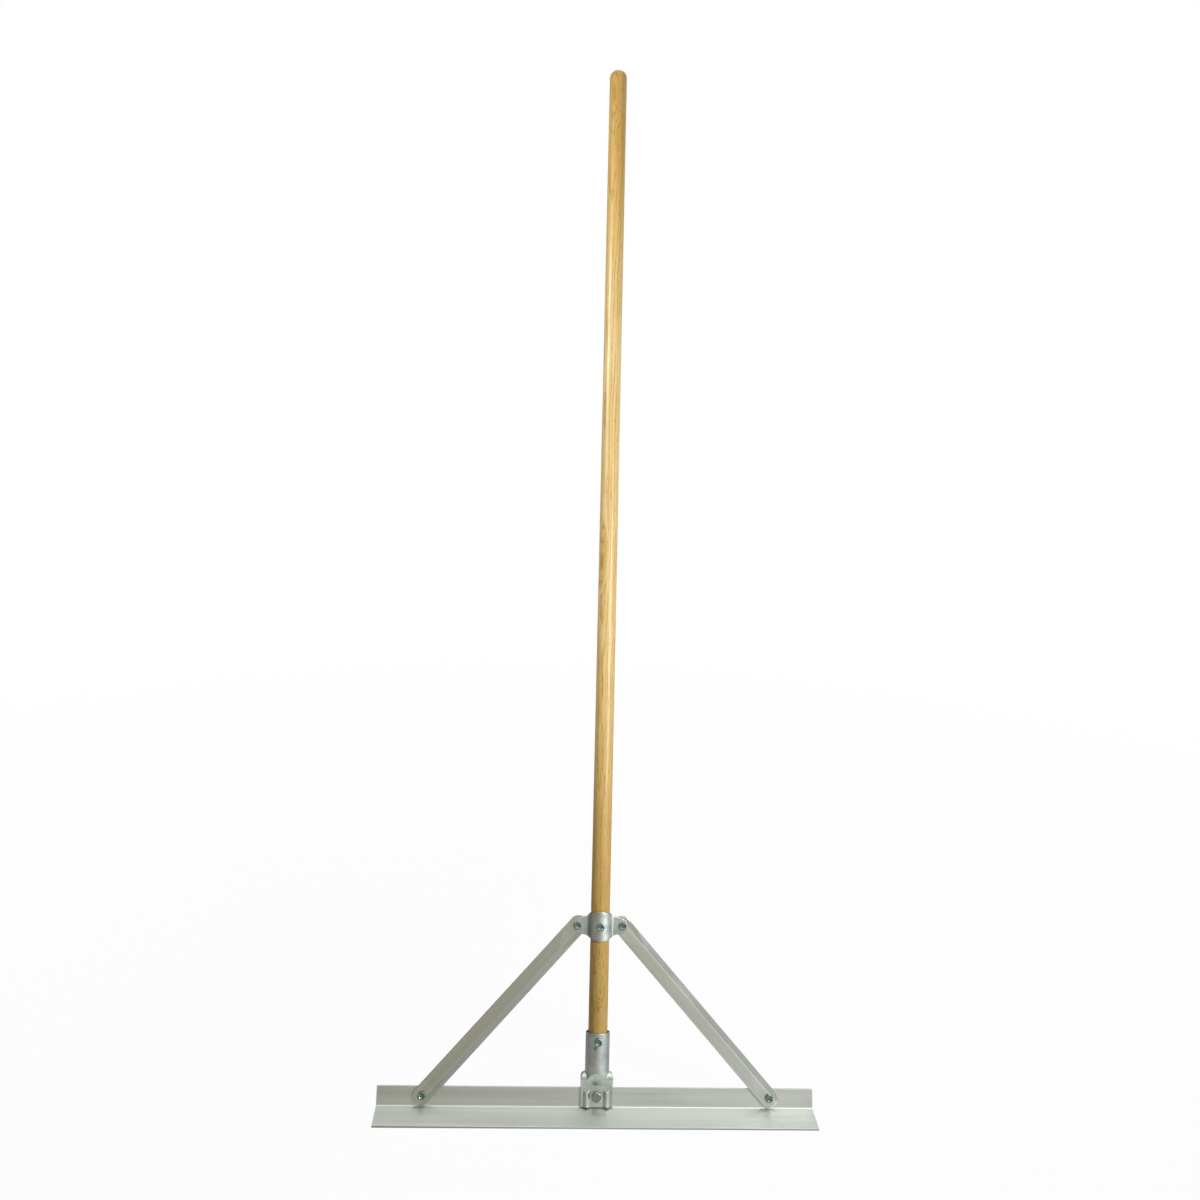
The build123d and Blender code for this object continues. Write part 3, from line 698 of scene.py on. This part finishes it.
class Hexagon:
    """Place and sizes of a packed bolt, screw, nut or washer: heights are towards the user."""

    def __init__(self, node):
        points = tool_points(node)
        low, high = ([pick(p[i] for p in points) for i in range(3)] for pick in (min, max))
        self.centre = Vector(((low[0] + high[0]) / 2, 0, (low[2] + high[2]) / 2))
        flat = [(Vector((p.x, p.z)) - self.centre.xz, -p.y) for p in points]
        corner = max(flat, key=lambda f: f[0].length)[0]
        self.corner_radius = corner.length
        self.bore_radius = min(f[0].length for f in flat)
        self.corner_angle = math.atan2(corner.y, corner.x)
        rim = [height for f, height in flat if f.length > RIM_SHARE * self.corner_radius]
        self.seat, self.top = min(rim), max(rim)
        self.end = min(height for f, height in flat)
        foot = [f.length for f, height in flat if f.length < SHANK_SHARE * self.corner_radius]
        self.shank_radius = max(foot) if foot else 0
        self.tip_radius = max(f.length for f, height in flat if height < self.end + TIP_BAND)

    def place(self, height):
        """Frame at a height on the axis, its z towards the user."""
        turned = Matrix(((1, 0, 0), (0, 0, 1), (0, -1, 0))).transposed().to_4x4()
        return TOOL @ Matrix.Translation(self.centre + Vector((0, -height, 0))) @ turned

    def flats(self, angle):
        """Distance from the axis to the hexagon's side at an angle."""
        swing = (angle - self.corner_angle) % (2 * SIXTH) - SIXTH
        return self.corner_radius * math.cos(SIXTH) / math.cos(swing)

    def crown(self, top, way):
        """Radius of the face inside the corner chamfer, and height of the hexagon's side under it."""
        inner = FACE_SHARE * self.corner_radius * math.cos(SIXTH)
        return inner, lambda angle: top - way * (self.flats(angle) - inner) * math.tan(SIXTH)

    def head(self, sizes, dished):
        """Rings of a cold-headed hexagon, from its top down to its seat."""
        high = self.top - self.seat
        inner, crown = self.crown(high, 1)
        rings = [around(inner * FACE_RING, high)]
        if dished:
            mouth = inner - sizes.dish_rim
            floor = mouth - DISH_SLOPE * sizes.dish_depth
            rings = [around(floor * FACE_RING, high - sizes.dish_depth), around(floor, high - sizes.dish_depth),
                     around(mouth, high)]
        rings += [around(inner, high), around(self.flats, crown)]
        rings += [around(self.flats, sizes.washer_face), around(inner, sizes.washer_face), around(inner, 0)]
        return rings


def thread(radius, pitch, depth, start, length):
    """Rings of a screw thread going down from a start height."""
    rings = []
    total = length / pitch * TURN_STEPS
    for k in range(int(total) + 1):
        height = start - k * pitch / TURN_STEPS
        cut = depth * min(1, k / (RUN_IN * TURN_STEPS), (total - k) / (RUN_OUT * TURN_STEPS))
        rings.append(around(
            lambda angle: radius - cut * abs((2 * (k / TURN_STEPS + angle / (2 * math.pi))) % 2 - 1), height))
    return rings


class SPREADER_OT_bolts(bpy.types.Operator):
    """Cut the bolts' heads and threads, and turn the nuts and washers"""

    bl_idname = "spreader.bolts"
    bl_label = "Bolts, nuts and washers"

    def bolt(self, node, material, sizes):
        """Cut one bolt; the small ones have dished heads."""
        size = Hexagon(node)
        length = size.seat - size.end
        radius = size.shank_radius
        large = node == "socket_bolt"
        pitch = sizes.large_pitch if large else sizes.small_pitch
        depth = sizes.thread_depth * pitch
        rings = size.head(sizes, not large)
        rings += [around(radius, 0), around(radius, -NECK * length)]
        rings += thread(radius, pitch, depth, -THREAD_START * length, BOLT_THREAD * length - pitch)
        rings += [around(radius - depth, -length)]
        skin(f"{node}_cut", rings, False, node, size.place(size.seat), material)

    def nut(self, node, material, sizes):
        """Turn one nut, chamfered on both faces and flared at both ends of its bore."""
        size = Hexagon(node)
        high = size.top - size.seat
        bore = size.bore_radius
        flare = bore + sizes.thread_depth * sizes.small_pitch
        inner, upper = size.crown(high, 1)
        _, lower = size.crown(0, -1)
        rings = [around(bore, flare - bore), around(bore, high - flare + bore)]
        rings += [around(flare, high), around(inner, high), around(size.flats, upper)]
        rings += [around(size.flats, lower), around(inner, 0), around(flare, 0)]
        skin(f"{node}_cut", rings, True, node, size.place(size.seat), material)

    def washer(self, node, material, sizes):
        """Turn one punched washer, most rounded at its outer edge towards the user."""
        size = Hexagon(node)
        high, outer, bore, edge = size.top - size.seat, size.corner_radius, size.bore_radius, sizes.washer_edge
        rings = [around(bore, edge / 2), around(bore, high - edge / 2), around(bore + edge / 2, high)]
        rings += [around(outer - edge, high), around(outer - edge * EDGE_MIDDLE, high - edge * EDGE_MIDDLE)]
        rings += [around(outer, high - edge), around(outer, edge / 2)]
        rings += [around(outer - edge / 2, 0), around(bore + edge / 2, 0)]
        skin(f"{node}_turned", rings, True, node, size.place(size.seat), material)

    def execute(self, context):
        sizes = context.scene.spreader_detail
        finish = context.scene.spreader_finish
        blue = passivated_zinc("steel_blue_passivated_zinc", finish.bolt_tone)
        clear = passivated_zinc("steel_clear_passivated_zinc", finish.foot_bolt_tone)
        for node in frame["nodes"]:
            for kind in ("bolt", "nut", "washer"):
                if f"_{kind}" in node:
                    getattr(self, kind)(node, clear if node.startswith("socket") else blue, sizes)
        return {"FINISHED"}


class SPREADER_OT_screws(bpy.types.Operator):
    """Cut the two wood screws' heads and coarse threads"""

    bl_idname = "spreader.screws"
    bl_label = "Wood screws"

    def execute(self, context):
        sizes = context.scene.spreader_detail
        zinc = passivated_zinc("screw_blue_passivated_zinc", context.scene.spreader_finish.bolt_tone)
        for node in ("saddle_screw", "socket_screw"):
            size = Hexagon(node)
            length = size.seat - size.end
            radius = size.shank_radius
            depth = sizes.screw_depth * sizes.screw_pitch
            rings = size.head(sizes, True)
            rings += [around(radius, 0), around(radius, -NECK * length)]
            rings += thread(radius, sizes.screw_pitch, depth, -THREAD_START * length, SCREW_THREAD * length)
            rings += [around(radius - depth, -SCREW_TAPER * length), around(size.tip_radius, -length)]
            skin(f"{node}_cut", rings, False, node, size.place(size.seat), zinc)
        return {"FINISHED"}


# Half the floor's width, and how far it lies under the blade's sole, so that the two don't share a plane
FLOOR_REACH = 12.0
FLOOR_DROP = 0.2 * MM
# The floor that the metal shows, as an axis, a stretch along it in metres and the level at both its ends: a white
# sheet that is darker on the left, the room beyond it, also darker on the left, and the shade that starts at the
# blade's front edge
FLOOR_LEVELS = {
    "sheet": ("X", -0.35, 0.0, 0.34, 0.72),
    "room": ("X", 0.05, 0.35, 0.18, 0.70),
    "shade": ("Y", -0.08, -0.03, 1.0, 0.62),
}
# Where the sheet runs out into the room, in metres from the tool's foot
SHEET_EDGE = {"From Min": 0.35, "From Max": 1.2}
# The camera sees white floor; near the tool a little of the matt floor stays, with the tool's shadow on it
SHADOW_EDGE = {"From Min": 0.6, "From Max": 2.6, "To Min": 0.97}

# The room that the metal shows, as a direction's axis, a stretch of it and the level at both its ends. Behind the
# viewer is a grey wall, darker to the left and with a dark corner high on the right, behind the tool a pale wall,
# and overhead a ceiling that is bright to the right. The light is warmer to the left of the viewer and behind.
ROOM_LEVELS = {
    "near_wall": ("X", -0.30, 0.5, 0.33, 0.84),
    "corner_right": ("X", 0.06, 0.24, 0.0, 1.0),
    "corner_high": ("Z", 0.12, 0.26, 0.0, -0.5),
    "far_wall": ("X", -0.6, 0.2, 0.26, 0.80),
    "ceiling": ("X", -0.5, 0.3, 0.6, 2.3),
    "near_to_far": ("Y", -0.8, 0.8, 0.0, 1.0),
    "wall_to_ceiling": ("Z", 0.72, 0.95, 0.0, 1.0),
    "warm_left": ("X", -0.20, 0.25, 1.0, 0.0),
    "warm_near": ("Y", -0.8, 0.3, 1.0, 0.0),
}
COOL_LIGHT, WARM_LIGHT = (0.96, 1.0, 0.985, 1.0), (1.0, 0.92, 0.68, 1.0)
WHITE = (1.0, 1.0, 1.0, 1.0)
# Plain light from all round on surfaces that don't mirror
FILL_LEVEL = 0.15

# The camera's sensor in millimetres, and how far it sees in metres
SENSOR_WIDTH = 36
FAR_CLIP = 50


class SPREADER_OT_stage(bpy.types.Operator):
    """Lay the floor, set the lights and place the camera"""

    bl_idname = "spreader.stage"
    bl_label = "Stage"

    def levels(self, tree, axes, table):
        """Levels of a table, each along one axis of a place or direction."""
        found = {}
        for name, (axis, start, end, first, last) in table.items():
            found[name] = add(tree, "ShaderNodeMapRange", {
                "Value": axes.outputs[axis], "From Min": start, "From Max": end,
                "To Min": first, "To Max": last}).outputs[0]
        return found

    def floor(self, colour):
        """Lay a matt floor that the camera sees as white."""
        mesh = bpy.data.meshes.new("floor")
        corners = [(x * FLOOR_REACH, y * FLOOR_REACH, 0) for x, y in ((-1, -1), (1, -1), (1, 1), (-1, 1))]
        mesh.from_pydata(corners, [], [(0, 1, 2, 3)])
        floor = bpy.data.objects.new("floor", mesh)
        floor.location.z = -FLOOR_DROP
        bpy.context.scene.collection.objects.link(floor)
        material, tree, output = new_material("matt_studio_floor")
        path = add(tree, "ShaderNodeLightPath")
        metal = add(tree, "ShaderNodeMath", {
            0: path.outputs["Is Glossy Ray"], 1: path.outputs["Is Transmission Ray"]},
            operation="ADD", use_clamp=True)
        shown = add(tree, "ShaderNodeMath", {
            0: metal.outputs[0], 1: path.outputs["Is Camera Ray"]}, operation="ADD", use_clamp=True)
        place = add(tree, "ShaderNodeTexCoord")
        away = add(tree, "ShaderNodeVectorMath", {0: place.outputs["Object"]}, operation="LENGTH")
        spot = add(tree, "ShaderNodeSeparateXYZ", {0: place.outputs["Object"]})
        level = self.levels(tree, spot, FLOOR_LEVELS)
        edge = add(tree, "ShaderNodeMapRange", {"Value": away.outputs["Value"], **SHEET_EDGE})
        ground = add(tree, "ShaderNodeMix", {
            SHARE: edge.outputs[0], NUMBER_A: level["sheet"], NUMBER_B: level["room"]})
        dimmed = add(tree, "ShaderNodeMath", {0: ground.outputs[0], 1: level["shade"]}, operation="MULTIPLY")
        strength = add(tree, "ShaderNodeMath", {
            0: metal.outputs[0], 1: dimmed.outputs[0], 2: path.outputs["Is Camera Ray"]},
            operation="MULTIPLY_ADD")
        plain = add(tree, "ShaderNodeMapRange", {"Value": away.outputs["Value"], **SHADOW_EDGE})
        share = add(tree, "ShaderNodeMath", {0: plain.outputs[0], 1: shown.outputs[0]}, operation="MULTIPLY")
        matt = add(tree, "ShaderNodeBsdfDiffuse", {"Color": rgba(colour)})
        white = add(tree, "ShaderNodeEmission", {"Color": WHITE, "Strength": strength.outputs[0]})
        mix = add(tree, "ShaderNodeMixShader", {0: share.outputs[0], 1: matt.outputs[0], 2: white.outputs[0]})
        tree.links.new(mix.outputs[0], output.inputs["Surface"])
        mesh.materials.append(material)

    def surroundings(self):
        """Put a white backdrop round the stage, and a room round it for the metal to show."""
        world = bpy.data.worlds.new("studio")
        bpy.context.scene.world = world
        world.use_nodes = True
        tree = world.node_tree
        tree.nodes.clear()
        output = add(tree, "ShaderNodeOutputWorld")
        path = add(tree, "ShaderNodeLightPath")
        place = add(tree, "ShaderNodeTexCoord")
        toward = add(tree, "ShaderNodeSeparateXYZ", {0: place.outputs["Generated"]})
        level = self.levels(tree, toward, ROOM_LEVELS)
        corner = add(tree, "ShaderNodeMath", {
            0: level["corner_right"], 1: level["corner_high"], 2: 1.0}, operation="MULTIPLY_ADD")
        near = add(tree, "ShaderNodeMath", {0: level["near_wall"], 1: corner.outputs[0]}, operation="MULTIPLY")
        wall = add(tree, "ShaderNodeMix", {
            SHARE: level["near_to_far"], NUMBER_A: near.outputs[0], NUMBER_B: level["far_wall"]})
        strength = add(tree, "ShaderNodeMix", {
            SHARE: level["wall_to_ceiling"], NUMBER_A: wall.outputs[0], NUMBER_B: level["ceiling"]})
        warm = add(tree, "ShaderNodeMath", {0: level["warm_left"], 1: level["warm_near"]}, operation="MULTIPLY")
        tint = add(tree, "ShaderNodeMix", {
            SHARE: warm.outputs[0], COLOUR_A: COOL_LIGHT, COLOUR_B: WARM_LIGHT}, data_type="RGBA")
        room = add(tree, "ShaderNodeBackground", {
            "Color": tint.outputs[MIXED_COLOUR], "Strength": strength.outputs[0]})
        fill = add(tree, "ShaderNodeBackground", {"Color": WHITE, "Strength": FILL_LEVEL})
        white = add(tree, "ShaderNodeBackground", {"Color": WHITE, "Strength": 1.0})
        shown = add(tree, "ShaderNodeMath", {
            0: path.outputs["Is Glossy Ray"], 1: path.outputs["Is Transmission Ray"]},
            operation="ADD", use_clamp=True)
        metal = add(tree, "ShaderNodeMixShader", {0: shown.outputs[0], 1: fill.outputs[0], 2: room.outputs[0]})
        mix = add(tree, "ShaderNodeMixShader", {
            0: path.outputs["Is Camera Ray"], 1: metal.outputs[0], 2: white.outputs[0]})
        tree.links.new(mix.outputs[0], output.inputs["Surface"])

    def lamp(self, name, light, place, target):
        """Hang one lamp, facing its target and out of the camera's sight."""
        lamp = bpy.data.objects.new(name, light)
        lamp.location = place
        lamp.rotation_euler = (Vector(target) - Vector(place)).to_track_quat("-Z", "Y").to_euler()
        lamp.visible_camera = False
        bpy.context.scene.collection.objects.link(lamp)

    def lights(self, stage):
        """Hang both lamps."""
        # A tall softbox near the viewer's right shoulder lights the lower half most
        right = bpy.data.lights.new("right_softbox", "AREA")
        right.shape = "RECTANGLE"
        right.size, right.size_y = stage.softbox_size
        right.energy = stage.softbox_power
        right.spread = stage.softbox_spread
        self.lamp("right_softbox", right, stage.softbox_place, stage.softbox_target)
        # A beam from the left catches the upper half only
        left = bpy.data.lights.new("left_beam", "SPOT")
        left.energy = stage.beam_power
        left.shadow_soft_size = stage.beam_radius
        left.spot_size = stage.beam_cone
        left.spot_blend = stage.beam_blend
        self.lamp("left_beam", left, stage.beam_place, stage.beam_target)

    def execute(self, context):
        stage = context.scene.spreader_stage
        self.floor(stage.floor_colour)
        self.surroundings()
        self.lights(stage)
        camera = bpy.data.cameras.new("photo_camera")
        camera.lens = stage.camera_lens
        camera.sensor_width = SENSOR_WIDTH
        camera.sensor_fit = "HORIZONTAL"
        camera.clip_end = FAR_CLIP
        viewer = bpy.data.objects.new("photo_camera", camera)
        ahead = Vector(stage.camera_ahead).to_track_quat("-Z", "Y").to_matrix()
        look = ahead @ Matrix.Rotation(stage.camera_roll, 3, "Z")
        viewer.matrix_world = Matrix.Translation(stage.camera_place) @ look.to_4x4()
        context.scene.collection.objects.link(viewer)
        context.scene.camera = viewer
        context.scene.view_settings.view_transform = "Standard"
        return {"FINISHED"}


class SPREADER_PT_panel(bpy.types.Panel):
    """The spreader's looks, one button for each piece"""

    bl_idname = "SPREADER_PT_panel"
    bl_label = "Concrete spreader"
    bl_space_type = "VIEW_3D"
    bl_region_type = "UI"
    bl_category = "Spreader"

    def draw(self, context):
        for operator in OPERATORS:
            self.layout.operator(operator.bl_idname)
        for group in GROUPS:
            held = getattr(context.scene, group)
            for name in held.__annotations__:
                self.layout.prop(held, name)


GROUPS = {
    "spreader_finish": SpreaderFinish,
    "spreader_detail": SpreaderDetail,
    "spreader_stage": SpreaderStage,
}
OPERATORS = (
    SPREADER_OT_handle,
    SPREADER_OT_blade,
    SPREADER_OT_braces,
    SPREADER_OT_pressings,
    SPREADER_OT_bolts,
    SPREADER_OT_screws,
    SPREADER_OT_stage,
)


def register():
    """Add the groups, the operators and the panel to Blender."""
    for group in GROUPS.values():
        bpy.utils.register_class(group)
    for name, group in GROUPS.items():
        setattr(bpy.types.Scene, name, bpy.props.PointerProperty(type=group))
    for operator in OPERATORS:
        bpy.utils.register_class(operator)
    bpy.utils.register_class(SPREADER_PT_panel)


def unregister():
    """Take them out again."""
    bpy.utils.unregister_class(SPREADER_PT_panel)
    for operator in reversed(OPERATORS):
        bpy.utils.unregister_class(operator)
    for name in GROUPS:
        delattr(bpy.types.Scene, name)
    for group in reversed(GROUPS.values()):
        bpy.utils.unregister_class(group)


def main():
    """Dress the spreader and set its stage."""
    register()
    bpy.ops.spreader.handle()
    bpy.ops.spreader.blade()
    bpy.ops.spreader.braces()
    bpy.ops.spreader.pressings()
    bpy.ops.spreader.bolts()
    bpy.ops.spreader.screws()
    bpy.ops.spreader.stage()


if __name__ == "__main__":
    main()
